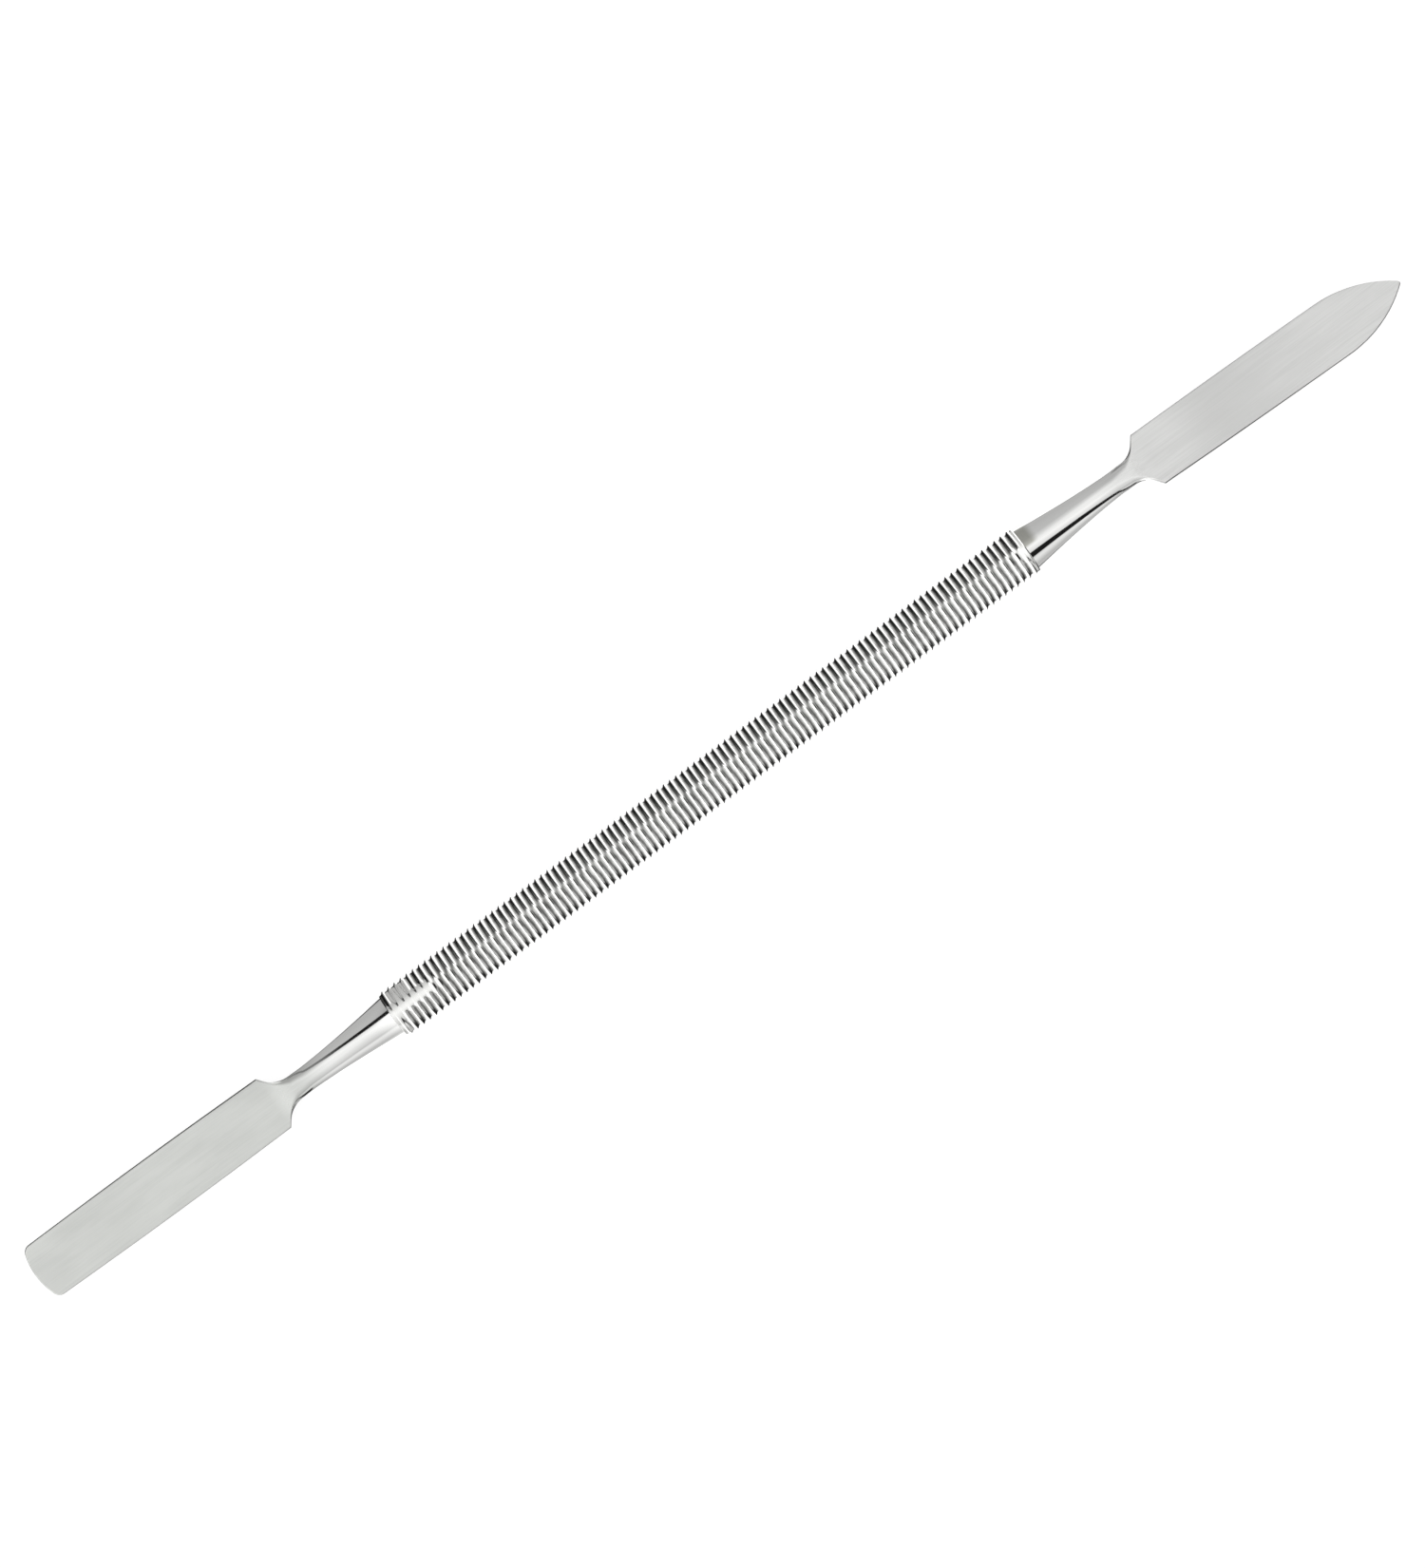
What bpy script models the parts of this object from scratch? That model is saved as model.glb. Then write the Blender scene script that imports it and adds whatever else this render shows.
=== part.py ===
"""Double-ended metal spudger: a ringed grip tube with a flat working end bonded into each mouth.

Metres, +Z up. The tool lies along X on its grip: the spear blade points to +X, the square blade to -X.
The origin is under the middle of the tool's length, on the surface that the grip rests on.
"""

import math

import bmesh
import bpy
from mathutils import Matrix, Vector

MM = 0.001

# Round sections have this many sides, turned so that one side is flat at the top and one at the bottom.
SIDES = 20

# Grip tube: turned rings between two plain lands, and a bore from mouth to mouth.
RING_COUNT = 103
RING_PITCH = 0.8 * MM
RING_CREST_R = 2.75 * MM
GROOVE_DEPTH = 0.25 * MM
END_LAND = 0.15 * MM
BORE_R = 1.6 * MM
MOUTH_CHAMFER = 0.12 * MM

# Bonded joint: the tang slides into the bore with room for a film of adhesive, and a bead of it fills the
# gap between the mouth of the tube and the shoulder of the shank.
BOND_GAP = 0.1 * MM
SEAT_GAP = 0.3 * MM
TANG_LENGTH = 10.0 * MM
TANG_CHAMFER = 0.3 * MM
GLUE_GROOVE_COUNT = 2
GLUE_GROOVE_WIDTH = 0.8 * MM
GLUE_GROOVE_DEPTH = 0.15 * MM

# Edges of both blades.
EDGE_R = 0.12 * MM

# Square working end, measured outwards from the tube's mouth. Its round root is smaller than the floor of
# the grooves between the rings by the root step. Each end is rolled about the grip's axis, so the two blades
# aren't quite in one plane, and past its shoulder each blade leans a little to one side.
SQUARE = {
    "length": 46.5 * MM,
    "root_step": 0.23 * MM,
    "neck_at": 11.4 * MM,
    "neck_half_width": 1.36 * MM,
    "neck_half_thickness": 0.9 * MM,
    "flare_radius": 3.0 * MM,
    "shoulder_at": 15.6 * MM,
    "shoulder_half_width": 3.14 * MM,
    "tip_half_width": 3.18 * MM,
    "blade_swell": 0.12 * MM,
    "shoulder_half_thickness": 0.55 * MM,
    "tip_half_thickness": 0.3 * MM,
    "end_arc_radius": 7.5 * MM,
    "corner_radius": 0.9 * MM,
    "roll": math.radians(5.0),
    "lean": math.radians(-0.2),
}

# Spear working end, measured outwards from the tube's mouth.
SPEAR = {
    "length": 48.4 * MM,
    "root_step": 0.14 * MM,
    "neck_at": 11.9 * MM,
    "neck_half_width": 1.34 * MM,
    "neck_half_thickness": 0.9 * MM,
    "flare_radius": 2.5 * MM,
    "shoulder_at": 16.0 * MM,
    "shoulder_half_width": 3.12 * MM,
    "tip_half_width": 3.24 * MM,
    "blade_swell": 0.05 * MM,
    "shoulder_half_thickness": 0.55 * MM,
    "tip_half_thickness": 0.25 * MM,
    "ogive_radius": 13.9 * MM,
    "nose_radius": 0.3 * MM,
    "roll": math.radians(-5.0),
    "lean": math.radians(-1.2),
}

# Shape of the shoulders and of the tapers, shared by both ends.
SHOULDER_SLOPE = math.radians(52.0)
SHANK_POWER = 1.5
NECK_ROUNDNESS = 0.88

# How finely each stretch of a working end is cut into sections.
SHANK_STEPS = 10
FLARE_STEPS = 5
BLADE_STEPS = 4
CORNER_STEPS = 5
ARC_STEPS = 8
WELD_DISTANCE = 0.001 * MM
SHARP_ANGLE = math.radians(35.0)

# Where the tube lies.
GRIP_LENGTH = RING_COUNT * RING_PITCH + 2 * END_LAND
AXIS_Z = RING_CREST_R * math.cos(math.pi / SIDES)
GRIP_MIDDLE_X = (SQUARE["length"] - SPEAR["length"]) / 2

STEEL_RINGED = ("turned_steel", (0.72, 0.72, 0.70, 1.0), 0.22)
STEEL_BLADE = ("satin_steel", (0.66, 0.67, 0.66, 1.0), 0.38)


def clear_scene():
    for obj in list(bpy.data.objects):
        bpy.data.objects.remove(obj, do_unlink=True)


def tool_collection():
    collection = bpy.data.collections.new("spudger")
    bpy.context.scene.collection.children.link(collection)
    return collection


def steel(name, colour, roughness):
    material = bpy.data.materials.get(name)
    if material is None:
        material = bpy.data.materials.new(name)
        material.use_nodes = True
        shader = material.node_tree.nodes["Principled BSDF"]
        shader.inputs["Base Color"].default_value = colour
        shader.inputs["Metallic"].default_value = 1.0
        shader.inputs["Roughness"].default_value = roughness
    return material


def grip_profile():
    """(x, radius) round the wall of the tube: out along the rings, back along the bore."""
    groove_r = RING_CREST_R - GROOVE_DEPTH
    half = GRIP_LENGTH / 2
    points = [(half, BORE_R), (half, groove_r - MOUTH_CHAMFER), (half - END_LAND, groove_r)]
    for ring in range(RING_COUNT):
        crest_x = half - END_LAND - (ring + 0.5) * RING_PITCH
        points.append((crest_x, RING_CREST_R))
        points.append((crest_x - RING_PITCH / 2, groove_r))
    points += [(-half, groove_r - MOUTH_CHAMFER), (-half, BORE_R)]
    return points


def make_grip_tube(collection):
    """A profile beside the tube's axis, turned round it by a Screw modifier."""
    profile = grip_profile()
    mesh = bpy.data.meshes.new("grip_tube")
    count = len(profile)
    # The profile is drawn with its length along Z, which the Screw turns round, and is laid along X after.
    points = [Vector((radius, 0.0, x)) for x, radius in profile]
    edges = [(i, (i + 1) % count) for i in range(count)]
    mesh.from_pydata(points, edges, [])
    tube = bpy.data.objects.new("grip_tube", mesh)
    collection.objects.link(tube)
    turn = tube.modifiers.new("turn", "SCREW")
    turn.axis = "Z"
    turn.angle = math.tau
    turn.steps = SIDES
    turn.render_steps = SIDES
    turn.use_merge_vertices = True
    turn.merge_threshold = WELD_DISTANCE
    half_side = Matrix.Rotation(math.pi / SIDES, 4, "Z")
    along_x = Matrix.Rotation(math.pi / 2, 4, "Y")
    tube.matrix_world = Matrix.Translation((GRIP_MIDDLE_X, 0.0, AXIS_Z)) @ along_x @ half_side
    mesh.materials.append(steel(*STEEL_RINGED))
    return tube


def section(half_width, half_thickness, side_reach, corner_rise):
    """SIDES points round a rectangle whose corners are quarter ellipses.

    side_reach is a corner's size across the blade, and corner_rise its size through the thickness.
    With both equal to the half width and half thickness, the section is a regular polygon.
    """
    side_reach = min(side_reach, half_width)
    corner_rise = min(corner_rise, half_thickness)
    points = []
    for k in range(SIDES):
        angle = (k + 0.5) * math.tau / SIDES
        across = math.copysign(half_width - side_reach, math.cos(angle)) + side_reach * math.cos(angle)
        up = math.copysign(half_thickness - corner_rise, math.sin(angle)) + corner_rise * math.sin(angle)
        points.append((across, up))
    return points


def round_section(radius):
    return section(radius, radius, radius, radius)


def root_radius(end):
    return RING_CREST_R - GROOVE_DEPTH - end["root_step"]


def tang_stations():
    """(s, section) from the tang's inner end to the seat of its shoulder, s measured from the mouth."""
    radius = BORE_R - BOND_GAP
    stations = [
        (-TANG_LENGTH, round_section(radius - TANG_CHAMFER)),
        (-TANG_LENGTH + TANG_CHAMFER, round_section(radius)),
    ]
    spacing = TANG_LENGTH / (GLUE_GROOVE_COUNT + 1)
    for groove in range(GLUE_GROOVE_COUNT):
        middle = -TANG_LENGTH + (groove + 1) * spacing
        start = middle - GLUE_GROOVE_WIDTH / 2
        end = middle + GLUE_GROOVE_WIDTH / 2
        floor = round_section(radius - GLUE_GROOVE_DEPTH)
        stations.append((start, round_section(radius)))
        stations.append((start + GLUE_GROOVE_DEPTH, floor))
        stations.append((end - GLUE_GROOVE_DEPTH, floor))
        stations.append((end, round_section(radius)))
    stations.append((SEAT_GAP, round_section(radius)))
    return stations


def shank_outline(end):
    """(s, half width) down the concave taper from the root to the neck."""
    points = []
    for step in range(SHANK_STEPS + 1):
        share = step / SHANK_STEPS
        s = SEAT_GAP + (end["neck_at"] - SEAT_GAP) * share
        drop = root_radius(end) - end["neck_half_width"]
        points.append((s, end["neck_half_width"] + drop * (1 - share) ** SHANK_POWER))
    return points


def flare_outline(end):
    """(s, half width) up the fillet that leaves the neck and the straight shoulder to the blade's corner."""
    rise = end["shoulder_half_width"] - end["neck_half_width"]
    radius = end["flare_radius"]
    fillet_rise = radius * (1 - math.cos(SHOULDER_SLOPE))
    fillet_run = radius * math.sin(SHOULDER_SLOPE)
    straight_run = (rise - fillet_rise) / math.tan(SHOULDER_SLOPE)
    start = end["shoulder_at"] - straight_run - fillet_run
    points = []
    for step in range(FLARE_STEPS + 1):
        angle = SHOULDER_SLOPE * step / FLARE_STEPS
        width = end["neck_half_width"] + radius * (1 - math.cos(angle))
        points.append((start + radius * math.sin(angle), width))
    points.append((end["shoulder_at"], end["shoulder_half_width"]))
    return points


def square_tip_outline(end):
    """(s, half width) round the rounded corner and along the crowned end to the middle of the end."""
    width = end["tip_half_width"]
    corner, arc = end["corner_radius"], end["end_arc_radius"]
    arc_centre = end["length"] - arc
    corner_s = arc_centre + math.sqrt((arc - corner) ** 2 - (width - corner) ** 2)
    meeting = math.atan2(width - corner, corner_s - arc_centre)
    points = []
    for step in range(CORNER_STEPS + 1):
        angle = math.pi / 2 + (meeting - math.pi / 2) * step / CORNER_STEPS
        points.append((corner_s + corner * math.cos(angle), width - corner + corner * math.sin(angle)))
    for step in range(1, ARC_STEPS):
        angle = meeting * (1 - step / ARC_STEPS)
        points.append((arc_centre + arc * math.cos(angle), arc * math.sin(angle)))
    return points


def spear_tip_outline(end):
    """(s, half width) along the pointed arch and round its small nose."""
    width, radius, nose = end["tip_half_width"], end["ogive_radius"], end["nose_radius"]
    arch_offset = radius - width
    nose_s = end["length"] - nose
    arch_s = nose_s - math.sqrt((radius - nose) ** 2 - arch_offset**2)
    meeting = math.acos(arch_offset / (radius - nose))
    points = []
    for step in range(ARC_STEPS + 1):
        angle = meeting * step / ARC_STEPS
        points.append((arch_s + radius * math.sin(angle), radius * math.cos(angle) - arch_offset))
    for step in range(1, CORNER_STEPS):
        angle = meeting + (math.pi / 2 - meeting) * step / CORNER_STEPS
        points.append((nose_s + nose * math.sin(angle), nose * math.cos(angle)))
    return points


def blade_outline(end, tip):
    """(s, half width) of the blade's side, swollen a little between the shoulder and the tip's start."""
    start, finish = end["shoulder_at"], tip[0][0]
    widening = end["tip_half_width"] - end["shoulder_half_width"]
    points = []
    for step in range(1, BLADE_STEPS):
        share = step / BLADE_STEPS
        swell = end["blade_swell"] * math.sin(math.pi * share)
        width = end["shoulder_half_width"] + widening * share + swell
        points.append((start + (finish - start) * share, width))
    return points


def smooth(share):
    return share * share * (3 - 2 * share)


def half_thickness(end, s):
    """Half the thickness at s: a round root, a neck, and a blade that thins evenly to its tip."""
    if s <= end["neck_at"]:
        share = (s - SEAT_GAP) / (end["neck_at"] - SEAT_GAP)
        drop = root_radius(end) - end["neck_half_thickness"]
        return end["neck_half_thickness"] + drop * (1 - share) ** SHANK_POWER
    if s <= end["shoulder_at"]:
        share = (s - end["neck_at"]) / (end["shoulder_at"] - end["neck_at"])
        drop = end["neck_half_thickness"] - end["shoulder_half_thickness"]
        return end["neck_half_thickness"] - drop * smooth(share)
    share = (s - end["shoulder_at"]) / (end["length"] - end["shoulder_at"])
    drop = end["shoulder_half_thickness"] - end["tip_half_thickness"]
    return end["shoulder_half_thickness"] - drop * share


def corner_size(end, s, width, thickness):
    """(reach, rise) of a section's corner: a round root, a nearly oval neck, and a blade's rounded edge."""
    if s <= end["neck_at"]:
        share = (s - SEAT_GAP) / (end["neck_at"] - SEAT_GAP)
        return width * (1 - (1 - NECK_ROUNDNESS) * smooth(share)), thickness
    if s <= end["shoulder_at"]:
        share = (s - end["neck_at"]) / (end["shoulder_at"] - end["neck_at"])
        left = 1 - smooth(share)
        neck_reach = end["neck_half_width"] * NECK_ROUNDNESS
        return EDGE_R + (neck_reach - EDGE_R) * left, EDGE_R + (thickness - EDGE_R) * left
    return EDGE_R, EDGE_R


def working_end_stations(end, tip_outline):
    tip = tip_outline(end)
    outline = shank_outline(end) + flare_outline(end) + blade_outline(end, tip) + tip
    stations = tang_stations()
    for s, width in outline:
        thickness = half_thickness(end, s)
        reach, rise = corner_size(end, s, width, thickness)
        aside = max(0.0, s - end["shoulder_at"]) * math.tan(end["lean"])
        points = section(width, thickness, reach, rise)
        stations.append((s, [(across + aside, up) for across, up in points]))
    return stations


def loft(name, stations):
    """A closed skin through sections that all have SIDES points, with a flat cap on each end."""
    bm = bmesh.new()
    rings = [[bm.verts.new((s, across, up)) for across, up in points] for s, points in stations]
    loops = [[bm.edges.new((ring[k - 1], ring[k])) for k in range(SIDES)] for ring in rings]
    bm.faces.new(rings[0])
    bm.faces.new(rings[-1])
    for first, second in zip(loops, loops[1:]):
        bmesh.ops.bridge_loops(bm, edges=first + second)
    bmesh.ops.recalc_face_normals(bm, faces=bm.faces[:])
    mesh = bpy.data.meshes.new(name)
    bm.to_mesh(mesh)
    bm.free()
    return mesh


def make_working_end(collection, name, end, tip_outline, mouth_x, outwards):
    """Lofts the end along its own +X from the mouth, then rolls it about the grip's axis and seats it."""
    mesh = loft(name, working_end_stations(end, tip_outline))
    mesh.materials.append(steel(*STEEL_BLADE))
    mesh.shade_smooth()
    mesh.set_sharp_from_angle(angle=SHARP_ANGLE)
    working_end = bpy.data.objects.new(name, mesh)
    collection.objects.link(working_end)
    facing = Matrix.Rotation(0.0 if outwards > 0 else math.pi, 4, "Z")
    roll = Matrix.Rotation(end["roll"], 4, "X")
    working_end.matrix_world = Matrix.Translation((mouth_x, 0.0, AXIS_Z)) @ roll @ facing
    return working_end


def main():
    clear_scene()
    collection = tool_collection()
    make_grip_tube(collection)
    left_mouth = GRIP_MIDDLE_X - GRIP_LENGTH / 2
    right_mouth = GRIP_MIDDLE_X + GRIP_LENGTH / 2
    make_working_end(collection, "square_end", SQUARE, square_tip_outline, left_mouth, -1)
    make_working_end(collection, "spear_end", SPEAR, spear_tip_outline, right_mouth, 1)


main()
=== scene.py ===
import math

import bmesh
import bpy
from mathutils import Matrix, Vector


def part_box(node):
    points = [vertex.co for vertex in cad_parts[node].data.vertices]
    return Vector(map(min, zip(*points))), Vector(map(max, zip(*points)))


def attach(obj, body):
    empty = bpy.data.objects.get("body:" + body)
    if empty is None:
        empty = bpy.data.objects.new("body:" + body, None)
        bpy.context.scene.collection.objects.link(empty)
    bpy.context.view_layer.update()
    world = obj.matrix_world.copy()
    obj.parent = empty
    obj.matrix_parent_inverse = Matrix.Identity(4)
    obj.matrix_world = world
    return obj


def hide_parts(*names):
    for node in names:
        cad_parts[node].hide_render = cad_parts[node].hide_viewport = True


MM = 0.001


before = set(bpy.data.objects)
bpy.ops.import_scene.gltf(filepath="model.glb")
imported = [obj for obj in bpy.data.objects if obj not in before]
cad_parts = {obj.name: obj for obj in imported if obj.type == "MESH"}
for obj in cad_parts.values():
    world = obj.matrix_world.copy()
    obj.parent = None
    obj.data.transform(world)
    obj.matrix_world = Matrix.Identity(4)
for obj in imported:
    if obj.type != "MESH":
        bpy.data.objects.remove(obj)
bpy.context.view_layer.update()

# ---------------------------------------------------------------- the tool's own measures

# Grip tube: beaded rings up to a plain land at the right mouth, and a bore from mouth to mouth. A RIDGE_POWER
# above 1 makes the beads narrower than the grooves, and the half ring by the land is never lower than
# LAST_RING_HEIGHT. RIM is the small chamfer at each mouth's outer edge.
RING_COUNT = 103
RING_PITCH = 0.8 * MM
END_LAND = 0.15 * MM
GROOVE_DEPTH = 0.25 * MM
RIDGE_POWER = 1.6
LAST_RING_HEIGHT = 0.17 * MM
RIM = 0.02 * MM
RIM_DROP = 0.4
BORE_R = 1.6 * MM
BORE_LEAD_RUN = 0.3 * MM
BORE_LEAD_RISE = 0.1 * MM
GRIP_SIDES = 96
POINTS_PER_RING = 8

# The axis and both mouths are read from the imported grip.
GRIP_LOW, GRIP_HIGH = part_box("grip_tube")
AXIS_Z = (GRIP_LOW.z + GRIP_HIGH.z) / 2
LEFT_MOUTH_X = GRIP_LOW.x
RIGHT_MOUTH_X = GRIP_HIGH.x
RING_CREST_R = (GRIP_HIGH.z - GRIP_LOW.z) / 2

# Patches near the mouths where the rings are shallow: middle x, half length, middle angle, half width, share.
# The angles are in degrees from the top towards +Y. A ring that is wholly worn away is left a little below
# the crests, by SHALLOW_SINK.
SHALLOW_SINK = 0.06 * MM
SHALLOW_PATCHES = (
    (LEFT_MOUTH_X + 1.5 * MM, 5.6 * MM, 7.0, 26.0, 0.84),
    (LEFT_MOUTH_X + 2.0 * MM, 1.9 * MM, 42.0, 40.0, 0.82),
    (LEFT_MOUTH_X + 0.2 * MM, 1.4 * MM, -40.0, 60.0, 0.8),
    (RIGHT_MOUTH_X, 2.0 * MM, -4.0, 30.0, 0.5),
)

# Working ends, measured outwards from the tube's mouth. From "grain" on, the entries are for the finish: how
# streaky it is, the face's colour, the duller patch (from, to, share), how dark the painted shade on the side
# walls is on the +Y and -Y sides, and how strong the darker patch by the mouth and the painted black shade by
# the point are.
SQUARE = {
    "length": 46.5 * MM,
    "root_radius": 2.27 * MM,
    "neck_at": 11.4 * MM,
    "neck_half_width": 1.36 * MM,
    "neck_half_thickness": 0.9 * MM,
    "flare_radius": 3.0 * MM,
    "shoulder_at": 15.6 * MM,
    "shoulder_half_width": 3.14 * MM,
    "tip_half_width": 3.18 * MM,
    "blade_swell": 0.12 * MM,
    "shoulder_half_thickness": 0.55 * MM,
    "tip_half_thickness": 0.3 * MM,
    "end_arc_radius": 7.5 * MM,
    "corner_radius": 0.9 * MM,
    "roll": math.radians(5.0),
    "lean": math.radians(-0.2),
    "grain": 0.35,
    "face": (0.458, 0.466, 0.452, 1.0),
    "dull": (34.0 * MM, 39.0 * MM, 0.3),
    "edges": (1.0, 0.6),
    "mouth_patch": 0.0,
    "point_shade": 0.0,
}
SPEAR = {
    "length": 48.4 * MM,
    "root_radius": 2.36 * MM,
    "neck_at": 11.9 * MM,
    "neck_half_width": 1.34 * MM,
    "neck_half_thickness": 0.9 * MM,
    "flare_radius": 2.5 * MM,
    "shoulder_at": 16.0 * MM,
    "shoulder_half_width": 3.12 * MM,
    "tip_half_width": 3.24 * MM,
    "blade_swell": 0.05 * MM,
    "shoulder_half_thickness": 0.55 * MM,
    "tip_half_thickness": 0.25 * MM,
    "ogive_radius": 13.9 * MM,
    "nose_radius": 0.3 * MM,
    "roll": math.radians(-5.0),
    "lean": math.radians(-1.2),
    "grain": 0.6,
    "face": (0.536, 0.537, 0.532, 1.0),
    "dull": (22.0 * MM, 32.0 * MM, 0.75),
    "edges": (0.45, 1.0),
    "mouth_patch": 1.0,
    "point_shade": 1.0,
}
EDGE_R = 0.12 * MM
SHOULDER_SLOPE = math.radians(52.0)
SHANK_POWER = 1.5
NECK_ROUNDNESS = 0.88
SEAT_GAP = 0.04 * MM
TANG_R = 1.5 * MM
TANG_LENGTH = 10.0 * MM
TANG_LEAD = 0.3 * MM

# How many sections each stretch of a working end is cut into.
SHANK_STEPS = 30
FILLET_STEPS = 16
SHOULDER_STEPS = 6
BLADE_STEPS = 24
CORNER_STEPS = 14
CROWN_STEPS = 20
ARCH_STEPS = 30
NOSE_STEPS = 12

# Points in one quarter of a section: up the side wall, round the corner and across the face. NECK_GATHERED is
# how far they are gathered on the corner at the neck. On a blade they are wholly gathered there.
SIDE_POINTS = 3
CORNER_POINTS = 10
FACE_POINTS = 11
QUARTER = SIDE_POINTS + CORNER_POINTS + FACE_POINTS
NECK_GATHERED = 0.6
CORNER_CHORDS = 60
LEAST_SIDEWAYS = 0.02
SHARP_ANGLE = math.radians(40.0)


# ---------------------------------------------------------------- small helpers


def smooth(share):
    share = min(1.0, max(0.0, share))
    return share * share * (3 - 2 * share)


def mix(first, second, share):
    return first + (second - first) * share


def keep(name, bm, material):
    """Turns a finished bmesh into a named object that rides on the tool."""
    bmesh.ops.recalc_face_normals(bm, faces=bm.faces[:])
    mesh = bpy.data.meshes.new(name)
    bm.to_mesh(mesh)
    bm.free()
    mesh.materials.append(material)
    mesh.shade_smooth()
    piece = bpy.data.objects.new(name, mesh)
    bpy.context.scene.collection.objects.link(piece)
    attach(piece, "root")
    return piece


# ---------------------------------------------------------------- node helpers for the finishes


class Finish:
    """A metal finish: one Principled shader and the nodes that feed it."""

    def __init__(self, name):
        self.material = bpy.data.materials.new(name)
        self.material.use_nodes = True
        self.nodes = self.material.node_tree.nodes
        self.links = self.material.node_tree.links
        self.shader = self.nodes["Principled BSDF"]
        self.shader.inputs["Metallic"].default_value = 1.0
        self.place = self.nodes.new("ShaderNodeTexCoord").outputs["Object"]

    def feed(self, source, socket):
        if hasattr(source, "is_output"):
            self.links.new(source, socket)
        else:
            socket.default_value = source

    def math(self, operation, first, second=0.0):
        node = self.nodes.new("ShaderNodeMath")
        node.operation = operation
        self.feed(first, node.inputs[0])
        self.feed(second, node.inputs[1])
        return node.outputs[0]

    def split(self, vector):
        node = self.nodes.new("ShaderNodeSeparateXYZ")
        self.feed(vector, node.inputs[0])
        return node.outputs

    def stretched(self, scale):
        """Object coordinates in millimetres, squeezed along each axis by scale."""
        node = self.nodes.new("ShaderNodeMapping")
        self.feed(self.place, node.inputs["Vector"])
        node.inputs["Scale"].default_value = tuple(s / MM for s in scale)
        return node.outputs[0]

    def noise(self, vector, detail=2.0, roughness=0.5):
        node = self.nodes.new("ShaderNodeTexNoise")
        self.feed(vector, node.inputs["Vector"])
        node.inputs["Scale"].default_value = 1.0
        node.inputs["Detail"].default_value = detail
        node.inputs["Roughness"].default_value = roughness
        return node.outputs["Fac"]

    def ramp(self, value, low, high, out_low, out_high):
        """out_low below low, out_high above high, and a smooth step between."""
        node = self.nodes.new("ShaderNodeMapRange")
        node.interpolation_type = "SMOOTHSTEP"
        self.feed(value, node.inputs["Value"])
        node.inputs["From Min"].default_value = low
        node.inputs["From Max"].default_value = high
        node.inputs["To Min"].default_value = out_low
        node.inputs["To Max"].default_value = out_high
        return node.outputs[0]

    def colours(self, share, first, second):
        """first where share is 0 and second where it is 1.

        The Mix node repeats its socket names for each data type, so the colour ones are found by identifier.
        """
        node = self.nodes.new("ShaderNodeMix")
        node.data_type = "RGBA"
        sockets = {socket.identifier: socket for socket in node.inputs}
        self.feed(share, sockets["Factor_Float"])
        self.feed(first, sockets["A_Color"])
        self.feed(second, sockets["B_Color"])
        return {socket.identifier: socket for socket in node.outputs}["Result_Color"]

    def bump(self, height, strength, distance):
        node = self.nodes.new("ShaderNodeBump")
        self.feed(height, node.inputs["Height"])
        node.inputs["Strength"].default_value = strength
        node.inputs["Distance"].default_value = distance
        return node.outputs[0]


# ---------------------------------------------------------------- finishes

# Most of a noise's values lie between these.
NOISE_SPAN = (0.3, 0.7)
TONE_SPAN = (0.35, 0.65)

# Turned rings: painted shade in the grooves, in uneven patches, up to a set share of the groove's depth below
# the crests, tool marks round them, and a stretch by the left mouth that has worn less bright.
BRIGHT = (0.72, 0.72, 0.71, 1.0)
WORN_BRIGHT = (0.6, 0.6, 0.59, 1.0)
# Painted shade: the dark that the grooves are coloured towards, where shade falls between the rings.
GROOVE_PAINTED_SHADE = (0.15, 0.15, 0.145, 1.0)
GROOVE_SHADE_TOP = 0.38
GROOVE_SHADE_SHARE = (0.7, 1.0)
SHADE_PATCH_SCALE = (0.35, 0.8, 0.8)
MARKS_SCALE = (28.0, 0.4, 0.4)
TURNED_ROUGHNESS = (0.12, 0.2)
GROOVE_ROUGHNESS = 0.2
MARKS_STRENGTH = 0.12
MARKS_HEIGHT = 0.004 * MM
WORN_FROM = 4.0 * MM
WORN_TO = 8.0 * MM

# Working ends: a polished shank that greys and turns satin, brushed along its length. The blade has a duller
# patch, its side walls carry painted shade that turns black by the spear's point, and a darker patch lies on
# one side of its mouth.
POLISHED = (0.58, 0.58, 0.575, 1.0)
MOUTH_DARKER = (0.33, 0.33, 0.305, 1.0)
# Painted shade: the blade's side walls are coloured near black, and black by the spear's point.
EDGE_PAINTED_SHADE = (0.06, 0.06, 0.058, 1.0)
POINT_PAINTED_SHADE = (0.02, 0.02, 0.02, 1.0)
SATIN_PAST = 0.5 * MM
GREYED_BEFORE = 4.0 * MM
GREYED_PAST = 2.0 * MM
STREAK_SCALE = (0.09, 9.0, 9.0)
CLOUD_SCALE = (0.16, 0.5, 0.5)
DEEP_SHADE = 0.92
DULL_SHADE = 0.83
DULL_LEAD = 3.0 * MM
DULL_TRAIL = 8.0 * MM
WALL_UPRIGHT = (0.5, 0.97)
SIDE_SPAN = 0.1
EDGE_SHADE_BEFORE = 2.0 * MM
POINT_SPAN = (4.5 * MM, 2.5 * MM)
MOUTH_PATCH_ALONG = (0.9 * MM, 1.9 * MM)
MOUTH_PATCH_ACROSS = (-0.05 * MM, 0.35 * MM)
BRUSHED_ROUGHNESS = (0.36, 0.46)
POLISH_ROUGHNESS = (0.05, 0.09)
SHANK_BRUSHING = 0.15
BRUSH_STRENGTH = 0.25
BRUSH_HEIGHT = 0.01 * MM


def shade(colour, share):
    """The colour with its brightness multiplied by share."""
    return tuple(channel * share for channel in colour[:3]) + (1.0,)


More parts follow.
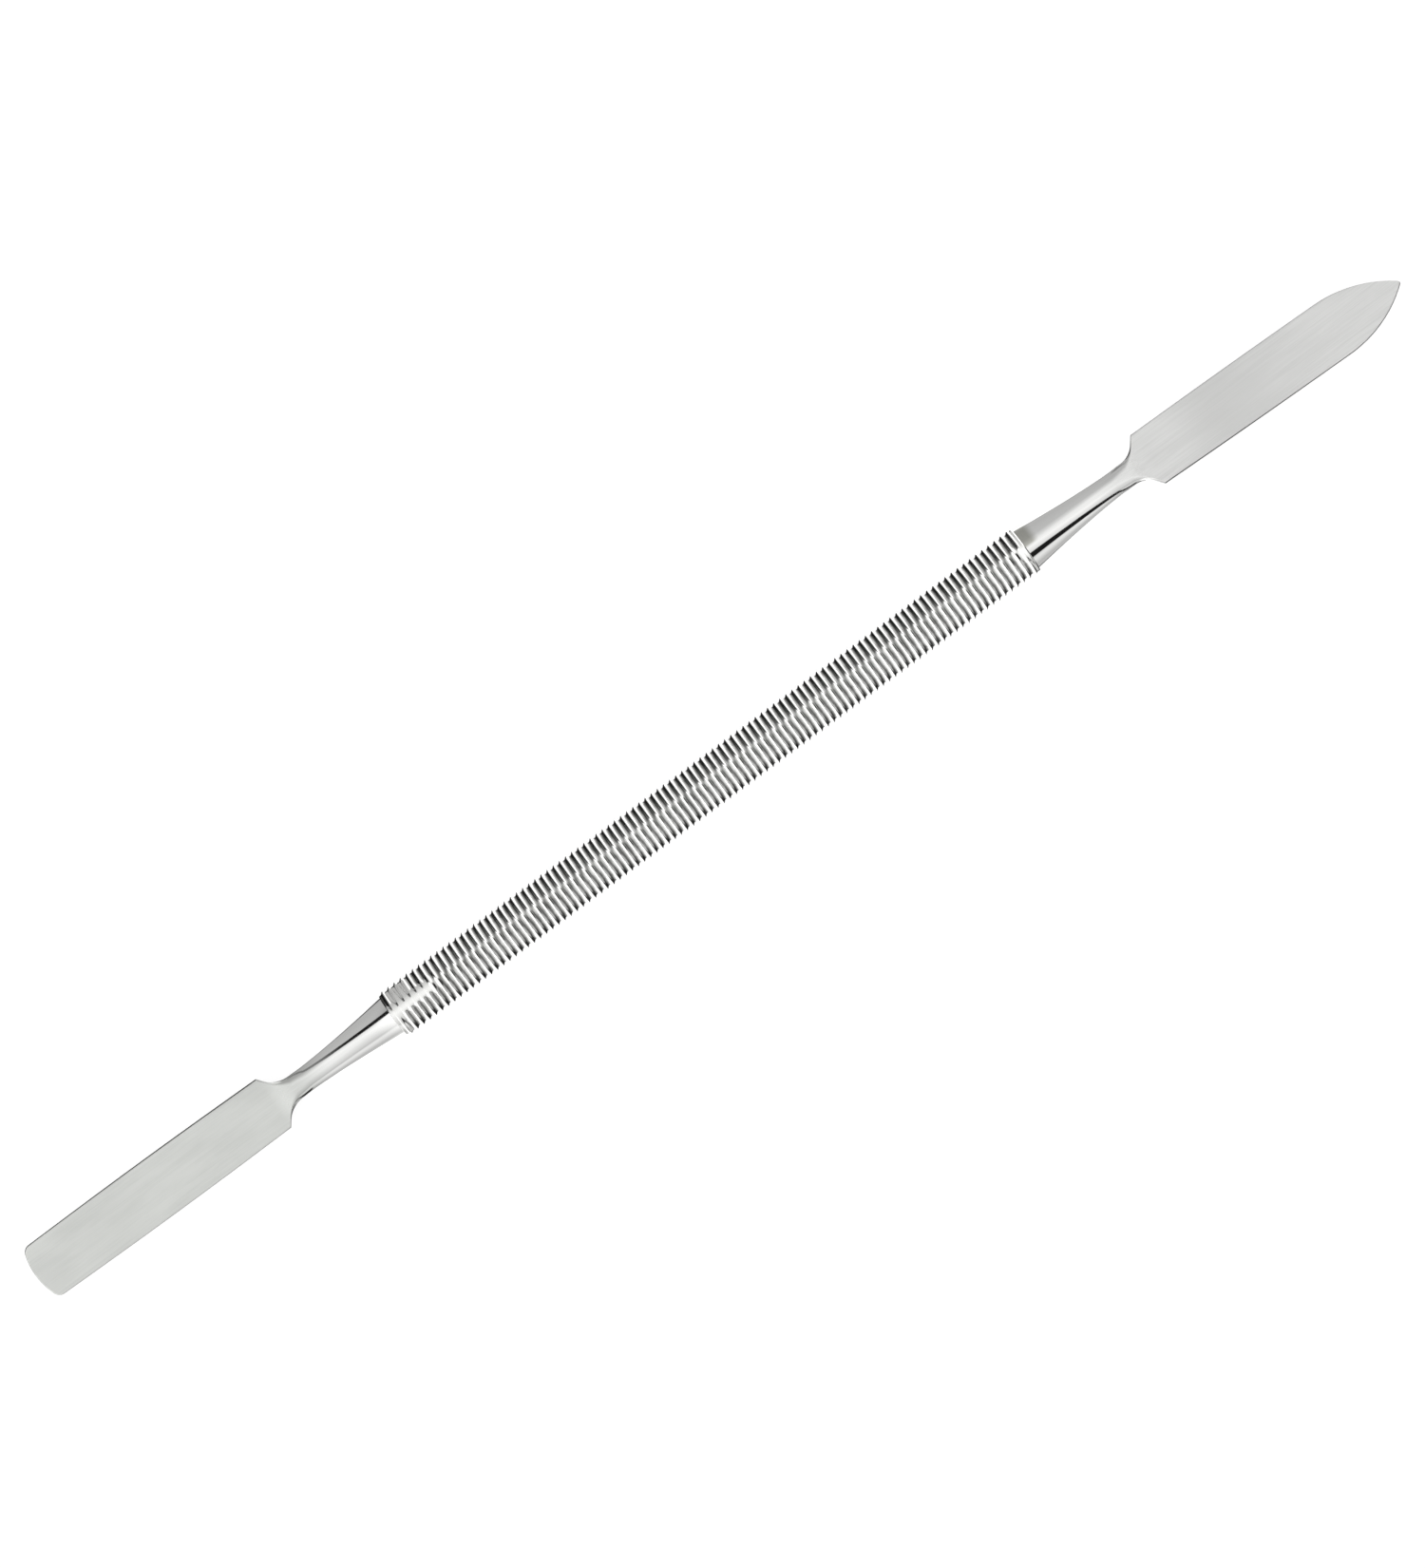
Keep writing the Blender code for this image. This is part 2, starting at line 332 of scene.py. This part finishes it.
def turned_steel():
    """Bright turned rings: painted shade and duller steel in the grooves, fine tool marks round the crests.
    """
    finish = Finish("turned_steel")
    x, y, z = finish.split(finish.place)
    up = finish.math("SUBTRACT", z, AXIS_Z)
    squares = finish.math("ADD", finish.math("MULTIPLY", y, y), finish.math("MULTIPLY", up, up))
    radius = finish.math("SQRT", squares)
    shade_top = RING_CREST_R - GROOVE_SHADE_TOP * GROOVE_DEPTH
    # Painted shade: the colour darkens down into the grooves, in uneven patches.
    depth = finish.ramp(radius, RING_CREST_R - GROOVE_DEPTH, shade_top, 1.0, 0.0)
    shade_patches = finish.noise(finish.stretched(SHADE_PATCH_SCALE), 3.0)
    groove_shade = finish.math("MULTIPLY", depth, finish.ramp(shade_patches, *NOISE_SPAN, *GROOVE_SHADE_SHARE))
    worn = finish.ramp(x, LEFT_MOUTH_X + WORN_FROM, LEFT_MOUTH_X + WORN_TO, 1.0, 0.0)
    crests = finish.colours(worn, BRIGHT, WORN_BRIGHT)
    finish.feed(finish.colours(groove_shade, crests, GROOVE_PAINTED_SHADE), finish.shader.inputs["Base Color"])
    marks = finish.noise(finish.stretched(MARKS_SCALE), 2.0)
    turned = finish.ramp(marks, *NOISE_SPAN, *TURNED_ROUGHNESS)
    rough = finish.math("ADD", turned, finish.math("MULTIPLY", groove_shade, GROOVE_ROUGHNESS))
    finish.feed(rough, finish.shader.inputs["Roughness"])
    finish.feed(finish.bump(marks, MARKS_STRENGTH, MARKS_HEIGHT), finish.shader.inputs["Normal"])
    return finish.material


def satin_steel(name, mouth_x, outwards, end):
    """A satin blade that turns into a polished shank towards the grip, with painted shade on its side walls.
    """
    finish = Finish(name)
    grain, length, neck_at, shoulder_at = end["grain"], end["length"], end["neck_at"], end["shoulder_at"]
    x, y, _ = finish.split(finish.place)
    out = finish.math("MULTIPLY", finish.math("SUBTRACT", x, mouth_x), outwards)
    satin = finish.ramp(out, neck_at + SATIN_PAST, shoulder_at + SATIN_PAST, 0.0, 1.0)
    greyed = finish.ramp(out, neck_at - GREYED_BEFORE, neck_at + GREYED_PAST, 0.0, 1.0)

    streaks = finish.noise(finish.stretched(STREAK_SCALE), 3.0, 0.6)
    clouds = finish.noise(finish.stretched(CLOUD_SCALE), 3.0)
    streaked = finish.math("MULTIPLY", streaks, grain)
    tone = finish.math("ADD", streaked, finish.math("MULTIPLY", clouds, 1.0 - grain))
    deep = finish.ramp(tone, *TONE_SPAN, 0.0, 1.0)
    face = finish.colours(deep, end["face"], shade(end["face"], DEEP_SHADE))
    dull_start, dull_end, dull_share = end["dull"]
    ramped_in = finish.ramp(out, dull_start - DULL_LEAD, dull_start + DULL_LEAD, 0.0, 1.0)
    ramped_out = finish.ramp(out, dull_end - DULL_TRAIL, dull_end + DULL_TRAIL, 1.0, 0.0)
    dull = finish.math("MULTIPLY", ramped_in, ramped_out)
    face = finish.colours(finish.math("MULTIPLY", dull, dull_share), face, shade(end["face"], DULL_SHADE))

    # Painted shade on the blade's side walls past the shoulder, stronger on one side, and black by the point.
    facing = finish.split(finish.nodes.new("ShaderNodeNewGeometry").outputs["Normal"])
    upper_share, lower_share = end["edges"]
    wall = finish.ramp(finish.math("ABSOLUTE", facing[2]), *WALL_UPRIGHT, 1.0, 0.0)
    side = finish.ramp(facing[1], -SIDE_SPAN, SIDE_SPAN, lower_share, upper_share)
    wall = finish.math("MULTIPLY", wall, side)
    past_shoulder = finish.ramp(out, shoulder_at - EDGE_SHADE_BEFORE, shoulder_at, 0.0, 1.0)
    point_shade = finish.ramp(out, length - POINT_SPAN[0], length - POINT_SPAN[1], 0.0, end["point_shade"])
    wall_shade = finish.colours(point_shade, EDGE_PAINTED_SHADE, POINT_PAINTED_SHADE)
    face = finish.colours(finish.math("MULTIPLY", wall, past_shoulder), face, wall_shade)

    # A darker patch on the shank's +Y side, right by the mouth.
    by_mouth = finish.ramp(out, *MOUTH_PATCH_ALONG, end["mouth_patch"], 0.0)
    mouth_patch = finish.math("MULTIPLY", by_mouth, finish.ramp(y, *MOUTH_PATCH_ACROSS, 0.0, 1.0))
    polished = finish.colours(mouth_patch, POLISHED, MOUTH_DARKER)
    finish.feed(finish.colours(greyed, polished, face), finish.shader.inputs["Base Color"])

    brushed = finish.ramp(streaks, *NOISE_SPAN, *BRUSHED_ROUGHNESS)
    polish = finish.ramp(clouds, *NOISE_SPAN, *POLISH_ROUGHNESS)
    rough = finish.math(
        "ADD",
        finish.math("MULTIPLY", brushed, satin),
        finish.math("MULTIPLY", polish, finish.math("SUBTRACT", 1.0, satin)),
    )
    finish.feed(rough, finish.shader.inputs["Roughness"])
    height = finish.math("MULTIPLY", streaks, finish.ramp(satin, 0.0, 1.0, SHANK_BRUSHING, 1.0))
    finish.feed(finish.bump(height, BRUSH_STRENGTH * grain, BRUSH_HEIGHT), finish.shader.inputs["Normal"])
    return finish.material


# ---------------------------------------------------------------- ringed grip


def grip_profile():
    """(x, radius) round the tube's wall, from the right mouth along the beads and back along the bore."""
    groove_r = RING_CREST_R - GROOVE_DEPTH
    land = groove_r + LAST_RING_HEIGHT
    points = [
        (RIGHT_MOUTH_X - BORE_LEAD_RUN, BORE_R),
        (RIGHT_MOUTH_X, BORE_R + BORE_LEAD_RISE),
        (RIGHT_MOUTH_X, land - 2 * RIM),
        (RIGHT_MOUTH_X - RIM, land - RIM_DROP * RIM),
        (RIGHT_MOUTH_X - END_LAND, land),
    ]
    for ring in range(RING_COUNT):
        start = RIGHT_MOUTH_X - END_LAND - ring * RING_PITCH
        for step in range(1, POINTS_PER_RING + 1):
            share = step / POINTS_PER_RING
            x = start - share * RING_PITCH
            bead = (0.5 - 0.5 * math.cos(math.tau * share)) ** RIDGE_POWER
            height = GROOVE_DEPTH * bead
            if ring == 0 and share < 0.5:
                height = max(height, LAST_RING_HEIGHT)
            points.append((x, groove_r + height))
    points += [
        (LEFT_MOUTH_X + RIM, groove_r - RIM_DROP * RIM),
        (LEFT_MOUTH_X, groove_r - 2 * RIM),
        (LEFT_MOUTH_X, BORE_R + BORE_LEAD_RISE),
        (LEFT_MOUTH_X + BORE_LEAD_RUN, BORE_R),
    ]
    return points


def shallowness(x, around):
    """How much the rings fade towards a plain surface at x and an angle round the tube: 0 full, 1 plain."""
    most = 0.0
    for middle_x, half_length, middle, half_width, depth in SHALLOW_PATCHES:
        along = 1.0 - smooth(2.0 * abs(x - middle_x) / half_length - 1.0)
        off = abs((around - middle + 180.0) % 360.0 - 180.0)
        most = max(most, depth * along * (1.0 - smooth(2.0 * off / half_width - 1.0)))
    return most


def ringed_grip():
    bm = bmesh.new()
    profile = [bm.verts.new((x, 0.0, radius)) for x, radius in grip_profile()]
    edges = [bm.edges.new((profile[k - 1], profile[k])) for k in range(len(profile))]
    bmesh.ops.spin(
        bm,
        geom=profile + edges,
        axis=(1.0, 0.0, 0.0),
        cent=(0.0, 0.0, 0.0),
        angle=math.tau,
        steps=GRIP_SIDES,
        use_merge=True,
    )
    for vert in bm.verts:
        radius = math.hypot(vert.co.y, vert.co.z)
        if radius > BORE_R + GROOVE_DEPTH:
            shallow = shallowness(vert.co.x, math.degrees(math.atan2(vert.co.y, vert.co.z)))
            worn_radius = mix(radius, RING_CREST_R - SHALLOW_SINK, shallow)
            vert.co.y *= worn_radius / radius
            vert.co.z *= worn_radius / radius
    bmesh.ops.translate(bm, verts=bm.verts[:], vec=(0.0, 0.0, AXIS_Z))
    grip = keep("ringed_grip", bm, turned_steel())
    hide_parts("grip_tube")


# ---------------------------------------------------------------- working ends


def quarter_section(half_width, half_thickness, reach, rise, gathered):
    """(across, up) of one quarter, from the side's middle to the face's middle, round an elliptical corner.

    gathered 0 spreads the points evenly, and 1 gathers them on the corner.
    """
    reach, rise = min(reach, half_width), min(rise, half_thickness)
    outline = [(half_width, 0.0)]
    for k in range(CORNER_CHORDS + 1):
        angle = math.pi / 2 * k / CORNER_CHORDS
        across = half_width - reach + reach * math.cos(angle)
        outline.append((across, half_thickness - rise + rise * math.sin(angle)))
    outline.append((0.0, half_thickness))
    lengths = [0.0]
    for first, second in zip(outline, outline[1:]):
        lengths.append(lengths[-1] + math.dist(first, second))
    corner_start, corner_end, whole = lengths[1], lengths[-2], lengths[-1]
    points = []
    for k in range(QUARTER + 1):
        if k <= SIDE_POINTS:
            close = corner_start * k / SIDE_POINTS
        elif k <= SIDE_POINTS + CORNER_POINTS:
            close = mix(corner_start, corner_end, (k - SIDE_POINTS) / CORNER_POINTS)
        else:
            close = mix(corner_end, whole, (k - SIDE_POINTS - CORNER_POINTS) / FACE_POINTS)
        target = mix(whole * k / QUARTER, close, gathered)
        piece = 0
        while piece < len(outline) - 2 and lengths[piece + 1] < target:
            piece += 1
        step = lengths[piece + 1] - lengths[piece]
        share = min(1.0, (target - lengths[piece]) / step) if step > 0.0 else 0.0
        first, second = outline[piece], outline[piece + 1]
        points.append((mix(first[0], second[0], share), mix(first[1], second[1], share)))
    return points


def whole_section(quarter):
    """All four quarters, in order round the section."""
    first = quarter[:-1]
    second = [(-across, up) for across, up in reversed(quarter[1:])]
    half = first + second
    return half + [(-across, -up) for across, up in half]


def shank_stations(end):
    """The concave taper from the round root to the flattened neck."""
    stations = []
    for step in range(SHANK_STEPS + 1):
        share = step / SHANK_STEPS
        s = mix(SEAT_GAP, end["neck_at"], share)
        drop = (1.0 - share) ** SHANK_POWER
        width = mix(end["neck_half_width"], end["root_radius"], drop)
        thickness = mix(end["neck_half_thickness"], end["root_radius"], drop)
        reach = width * (1.0 - (1.0 - NECK_ROUNDNESS) * smooth(share))
        stations.append((s, width, thickness, reach, thickness, NECK_GATHERED * smooth(share)))
    return stations


def flare_stations(end):
    """The fillet that leaves the neck, and the straight shoulder out to the blade's corner."""
    rise = end["shoulder_half_width"] - end["neck_half_width"]
    radius = end["flare_radius"]
    fillet_rise = radius * (1 - math.cos(SHOULDER_SLOPE))
    fillet_run = radius * math.sin(SHOULDER_SLOPE)
    straight_run = (rise - fillet_rise) / math.tan(SHOULDER_SLOPE)
    start = end["shoulder_at"] - straight_run - fillet_run
    outline = []
    for step in range(1, FILLET_STEPS + 1):
        angle = SHOULDER_SLOPE * step / FILLET_STEPS
        width = end["neck_half_width"] + radius * (1 - math.cos(angle))
        outline.append((start + radius * math.sin(angle), width))
    for step in range(1, SHOULDER_STEPS + 1):
        share = step / SHOULDER_STEPS
        s = start + fillet_run + straight_run * share
        outline.append((s, end["neck_half_width"] + fillet_rise + (rise - fillet_rise) * share))
    stations = []
    for s, width in outline:
        share = smooth((s - end["neck_at"]) / (end["shoulder_at"] - end["neck_at"]))
        thickness = mix(end["neck_half_thickness"], end["shoulder_half_thickness"], share)
        reach = mix(end["neck_half_width"] * NECK_ROUNDNESS, EDGE_R, share)
        corner = mix(thickness, EDGE_R, share)
        stations.append((s, width, thickness, reach, corner, mix(NECK_GATHERED, 1.0, share)))
    return stations


def blade_thickness(end, s):
    share = (s - end["shoulder_at"]) / (end["length"] - end["shoulder_at"])
    thickness = mix(end["shoulder_half_thickness"], end["tip_half_thickness"], share)
    from_end = end["length"] - s
    if from_end < EDGE_R:
        thickness -= EDGE_R - math.sqrt(max(0.0, EDGE_R**2 - (EDGE_R - from_end) ** 2))
    return thickness


def blade_stations(end, tip):
    """The blade's sides, and the tip, whose outline is (s, half width, how far sideways its edge faces)."""
    first, last = end["shoulder_at"], tip[0][0]
    outline = []
    for step in range(1, BLADE_STEPS):
        share = step / BLADE_STEPS
        width = mix(end["shoulder_half_width"], end["tip_half_width"], share)
        outline.append((mix(first, last, share), width + end["blade_swell"] * math.sin(math.pi * share), 1.0))
    outline += tip
    stations = []
    for s, width, sideways in outline:
        reach = EDGE_R / max(sideways, LEAST_SIDEWAYS)
        stations.append((s, width, blade_thickness(end, s), reach, EDGE_R, 1.0))
    return stations


def square_tip(end):
    width, corner, arc = end["tip_half_width"], end["corner_radius"], end["end_arc_radius"]
    arc_centre = end["length"] - arc
    corner_s = arc_centre + math.sqrt((arc - corner) ** 2 - (width - corner) ** 2)
    meeting = math.atan2(width - corner, corner_s - arc_centre)
    outline = []
    for step in range(CORNER_STEPS + 1):
        angle = mix(math.pi / 2, meeting, step / CORNER_STEPS)
        across = width - corner + corner * math.sin(angle)
        outline.append((corner_s + corner * math.cos(angle), across, math.sin(angle)))
    for step in range(1, CROWN_STEPS):
        angle = meeting * (1 - step / CROWN_STEPS)
        outline.append((arc_centre + arc * math.cos(angle), arc * math.sin(angle), math.sin(angle)))
    return outline


def spear_tip(end):
    width, radius, nose = end["tip_half_width"], end["ogive_radius"], end["nose_radius"]
    arch_offset = radius - width
    nose_s = end["length"] - nose
    arch_s = nose_s - math.sqrt((radius - nose) ** 2 - arch_offset**2)
    meeting = math.acos(arch_offset / (radius - nose))
    outline = []
    for step in range(ARCH_STEPS + 1):
        angle = meeting * step / ARCH_STEPS
        across = radius * math.cos(angle) - arch_offset
        outline.append((arch_s + radius * math.sin(angle), across, math.cos(angle)))
    for step in range(1, NOSE_STEPS):
        angle = mix(meeting, math.pi / 2, step / NOSE_STEPS)
        outline.append((nose_s + nose * math.sin(angle), nose * math.cos(angle), math.cos(angle)))
    return outline


def tang_stations():
    """The hidden round tang, up to the shank's root."""
    radii = [
        (-TANG_LENGTH, TANG_R - TANG_LEAD),
        (-TANG_LENGTH + TANG_LEAD, TANG_R),
        (0.0, TANG_R),
        (SEAT_GAP, TANG_R),
    ]
    return [(s, radius, radius, radius, radius, 0.0) for s, radius in radii]


def working_end(name, node, end, tip, mouth_x, outwards, material):
    """Sections made from circles and bridged in turn, rolled about the axis and seated in the mouth."""
    bm = bmesh.new()
    loops = []
    stations = tang_stations() + shank_stations(end) + flare_stations(end) + blade_stations(end, tip(end))
    for s, width, thickness, reach, rise, gathered in stations:
        ring = bmesh.ops.create_circle(bm, cap_ends=False, segments=4 * QUARTER, radius=width)["verts"]
        aside = max(0.0, s - end["shoulder_at"]) * math.tan(end["lean"])
        section = whole_section(quarter_section(width, thickness, reach, rise, gathered))
        for vert, (across, up) in zip(ring, section):
            vert.co = (s, across + aside, up)
        loops.append(ring)
    edges = [[bm.edges.get((ring[k - 1], ring[k])) for k in range(len(ring))] for ring in loops]
    for first, second in zip(edges, edges[1:]):
        bmesh.ops.bridge_loops(bm, edges=first + second)
    bmesh.ops.edgeloop_fill(bm, edges=edges[0])
    bmesh.ops.edgeloop_fill(bm, edges=edges[-1])
    facing = Matrix.Rotation(0.0 if outwards > 0 else math.pi, 4, "Z")
    roll = Matrix.Rotation(end["roll"], 4, "X")
    seat = Matrix.Translation((mouth_x, 0.0, AXIS_Z))
    bmesh.ops.transform(bm, matrix=seat @ roll @ facing, verts=bm.verts[:])
    piece = keep(name, bm, material)
    piece.data.set_sharp_from_angle(angle=SHARP_ANGLE)
    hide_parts(node)


# ---------------------------------------------------------------- stage, light and camera

VIEW_TURN = math.radians(36.356)
LENS = 180.0
FIELD_HEIGHT = 165.0 * MM
SENSOR = 36.0
FRAME_SHIFT = (0.41 * MM, 0.72 * MM)

FLOOR_HALF = 0.9
FLOOR_DROP = 0.02 * MM
FLOOR_GLOW = 0.85
FLOOR_PALE = (0.85, 0.85, 0.85, 1.0)
FLOOR_FAINT = (0.2, 0.2, 0.2, 1.0)
TENT_TINT = (1.0, 1.0, 0.995, 1.0)

BLACK = 0.015
SLOT_SOFT = 0.015

# (north, brightness) across the tent.
TENT = (
    (-0.98, 0.05),
    (-0.94, 0.78),
    (-0.80, 0.82),
    (-0.70, 1.1),
    (-0.60, 1.35),
    (-0.53, 1.35),
    (-0.46, 0.9),
    (-0.37, 1.1),
    (-0.15, 1.38),
    (-0.02, 1.62),
    (0.08, 1.5),
    (0.2, 1.15),
    (0.35, 0.85),
    (0.91, 0.74),
    (0.96, 0.05),
)

# Cards: their reach along east and north, softness, and brightness.
CARDS = (
    ((-1.1, -0.2), (-1.1, 0.19), 0.025, 2.3),
    ((0.23, 1.1), (0.16, 1.1), 0.03, 2.0),
    ((-1.1, -0.2), (0.21, 1.1), 0.025, BLACK),
    ((0.225, 1.1), (-1.1, 0.1), 0.02, BLACK),
    ((0.225, 1.1), (-0.58, -0.2), 0.06, 0.7),
)

# Slots: the side of east that they start from (1 or -1), the east where they start, their reach, their north
# at the start, how they bend away from it, half their height, and the share of their dark left further on.
SLOTS = (
    (-1.0, 0.17, (-0.03, 0.22), 0.25, 17.0, 0.082, 0.6),
    (1.0, 0.2, (-0.05, 0.22), -0.355, -11.0, 0.11, 1.0),
)
FADE_AT = 0.05
FADE_SOFT = 0.03


def floor():
    """A white sheet that glows evenly to the eye and lights the tool like a pale matt floor.

    It is clear to what the polished steel mirrors, so the steel shows the tent all round it.
    """
    bm = bmesh.new()
    bmesh.ops.create_grid(bm, x_segments=1, y_segments=1, size=FLOOR_HALF)
    bmesh.ops.translate(bm, verts=bm.verts[:], vec=(0.0, 0.0, -FLOOR_DROP))
    mesh = bpy.data.meshes.new("pale_floor")
    bm.to_mesh(mesh)
    bm.free()
    material = bpy.data.materials.new("pale_floor")
    material.use_nodes = True
    nodes, links = material.node_tree.nodes, material.node_tree.links
    nodes.clear()
    output = nodes.new("ShaderNodeOutputMaterial")
    path = nodes.new("ShaderNodeLightPath")
    glow = nodes.new("ShaderNodeEmission")
    glow.inputs["Strength"].default_value = FLOOR_GLOW
    matt = nodes.new("ShaderNodeBsdfDiffuse")
    matt.inputs["Color"].default_value = FLOOR_PALE
    faint = nodes.new("ShaderNodeBsdfDiffuse")
    faint.inputs["Color"].default_value = FLOOR_FAINT
    table = nodes.new("ShaderNodeAddShader")
    links.new(glow.outputs[0], table.inputs[0])
    links.new(faint.outputs[0], table.inputs[1])
    choose = nodes.new("ShaderNodeMixShader")
    links.new(path.outputs["Is Camera Ray"], choose.inputs[0])
    links.new(matt.outputs[0], choose.inputs[1])
    links.new(table.outputs[0], choose.inputs[2])
    mirrored = nodes.new("ShaderNodeMixShader")
    links.new(path.outputs["Is Glossy Ray"], mirrored.inputs[0])
    links.new(choose.outputs[0], mirrored.inputs[1])
    links.new(nodes.new("ShaderNodeBsdfTransparent").outputs[0], mirrored.inputs[2])
    links.new(mirrored.outputs[0], output.inputs[0])
    mesh.materials.append(material)
    plane = bpy.data.objects.new("pale_floor", mesh)
    bpy.context.scene.collection.objects.link(plane)


class Sky:
    """Nodes that place a ray's direction by the slope that a mirror needs to send straight-up rays that way.

    east and north are that slope's lean along +X and +Y: 0 is straight up, and 0.71 on the level.
    """

    def __init__(self, world):
        self.nodes = world.node_tree.nodes
        self.links = world.node_tree.links
        way = self.nodes.new("ShaderNodeTexCoord").outputs["Generated"]
        parts = self.nodes.new("ShaderNodeSeparateXYZ")
        self.links.new(way, parts.inputs[0])
        x, y, z = parts.outputs
        scale = self.math("SQRT", self.math("MAXIMUM", self.math("MULTIPLY_ADD", z, 2.0, 2.0), 0.0001))
        self.east = self.math("DIVIDE", x, scale)
        self.north = self.math("DIVIDE", y, scale)

    def math(self, operation, *values):
        node = self.nodes.new("ShaderNodeMath")
        node.operation = operation
        for value, socket in zip(values, node.inputs):
            if hasattr(value, "is_output"):
                self.links.new(value, socket)
            else:
                socket.default_value = value
        return node.outputs[0]

    def over(self, value, limit, soft):
        """0 below the limit and 1 above it."""
        node = self.nodes.new("ShaderNodeMapRange")
        node.interpolation_type = "SMOOTHSTEP"
        self.links.new(value, node.inputs["Value"])
        node.inputs["From Min"].default_value = limit - soft
        node.inputs["From Max"].default_value = limit + soft
        return node.outputs[0]

    def between(self, value, limits, soft):
        low, high = limits
        return self.math("SUBTRACT", self.over(value, low, soft), self.over(value, high, soft))

    def card(self, easts, norths, soft):
        across = self.between(self.north, norths, soft)
        return self.math("MULTIPLY", self.between(self.east, easts, soft), across)

    def mix(self, share, first, second):
        kept = self.math("MULTIPLY", first, self.math("SUBTRACT", 1.0, share))
        return self.math("ADD", kept, self.math("MULTIPLY", second, share))

    def across(self, stops):
        """Brightness across the tent from -Y to +Y, from (north, brightness) stops."""
        node = self.nodes.new("ShaderNodeValToRGB")
        ramp = node.color_ramp
        brightest = max(level for _, level in stops)
        while len(ramp.elements) < len(stops):
            ramp.elements.new(0.5)
        for element, (north, level) in zip(ramp.elements, stops):
            element.position = (north + 1.0) / 2
            grey = level / brightest
            element.color = (grey, grey, grey, 1.0)
        self.links.new(self.math("MULTIPLY_ADD", self.north, 0.5, 0.5), node.inputs[0])
        return self.math("MULTIPLY", node.outputs[0], brightest)


def tent_light():
    """A pale tent round the tool, with white and black cards at its ends and two narrow slots."""
    world = bpy.data.worlds.new("light_tent")
    bpy.context.scene.world = world
    world.use_nodes = True
    world.node_tree.nodes.clear()
    sky = Sky(world)
    light = sky.across(TENT)
    for easts, norths, soft, level in CARDS:
        light = sky.mix(sky.card(easts, norths, soft), light, level)
    for towards, start, reach, place, bend, half, faint in SLOTS:
        along = sky.math("MULTIPLY", sky.east, towards)
        past = sky.math("SUBTRACT", start, sky.math("MAXIMUM", along, 0.0))
        height = sky.math("MULTIPLY_ADD", sky.math("MULTIPLY", past, past), -bend, sky.north)
        slot = sky.between(height, (place - half, place + half), SLOT_SOFT)
        slot = sky.math("MULTIPLY", slot, sky.between(along, reach, SLOT_SOFT))
        faded = sky.math("MULTIPLY_ADD", sky.over(past, FADE_AT, FADE_SOFT), faint - 1.0, 1.0)
        light = sky.mix(sky.math("MULTIPLY", slot, faded), light, BLACK)
    background = sky.nodes.new("ShaderNodeBackground")
    background.inputs["Color"].default_value = TENT_TINT
    sky.links.new(light, background.inputs["Strength"])
    output = sky.nodes.new("ShaderNodeOutputWorld")
    sky.links.new(background.outputs[0], output.inputs[0])


def camera():
    """Straight above, turned so that the spear blade points up and to the right."""
    data = bpy.data.cameras.new("camera")
    data.lens = LENS
    data.sensor_width = SENSOR
    eye = bpy.data.objects.new("camera", data)
    bpy.context.scene.collection.objects.link(eye)
    right = Vector((math.cos(VIEW_TURN), -math.sin(VIEW_TURN), 0.0))
    up = Vector((math.sin(VIEW_TURN), math.cos(VIEW_TURN), 0.0))
    distance = FIELD_HEIGHT * LENS / SENSOR
    place = -right * FRAME_SHIFT[0] - up * FRAME_SHIFT[1]
    eye.location = (place.x, place.y, AXIS_Z + distance)
    eye.rotation_euler = (0.0, 0.0, -VIEW_TURN)
    bpy.context.scene.camera = eye


# ---------------------------------------------------------------- put together

ringed_grip()
working_end(
    "square_blade_end",
    "square_end",
    SQUARE,
    square_tip,
    LEFT_MOUTH_X,
    -1,
    satin_steel("satin_square", LEFT_MOUTH_X, -1.0, SQUARE),
)
working_end(
    "spear_blade_end",
    "spear_end",
    SPEAR,
    spear_tip,
    RIGHT_MOUTH_X,
    1,
    satin_steel("satin_spear", RIGHT_MOUTH_X, 1.0, SPEAR),
)
floor()
tent_light()
camera()
bpy.context.scene.view_settings.view_transform = "Standard"
